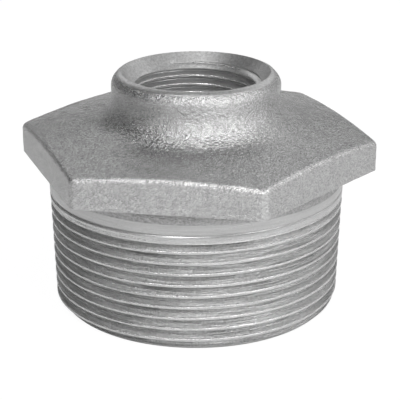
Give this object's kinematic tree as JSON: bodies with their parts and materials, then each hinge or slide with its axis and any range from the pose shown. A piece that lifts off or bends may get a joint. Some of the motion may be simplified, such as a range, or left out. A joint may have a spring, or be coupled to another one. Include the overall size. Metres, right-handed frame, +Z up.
{
  "type": "hex bushing",
  "caption": "Hexagon reducing bushing for pipework: taper male thread below a wrench hexagon, parallel female thread in a raised round collar, hollow male end.",
  "frame": {"origin": "centre of the male thread's flat end, which is the bottom of the part as it stands", "axes": "+Z up along the bore, from the male end to the mouth of the female thread; +X through a corner of the hexagon, and -Y and +Y out of two of its wrench flats"},
  "size_m": [0.0734, 0.064, 0.048],
  "materials": {
    "galvanised_iron": "hot-dip galvanised: dull silver grey, rough cast on the hexagon and collar, bright turned metal on the threads and neck"
  },
  "bodies": {
    "root": {"hex_bushing": "galvanised_iron"}
  },
  "joints": []
}
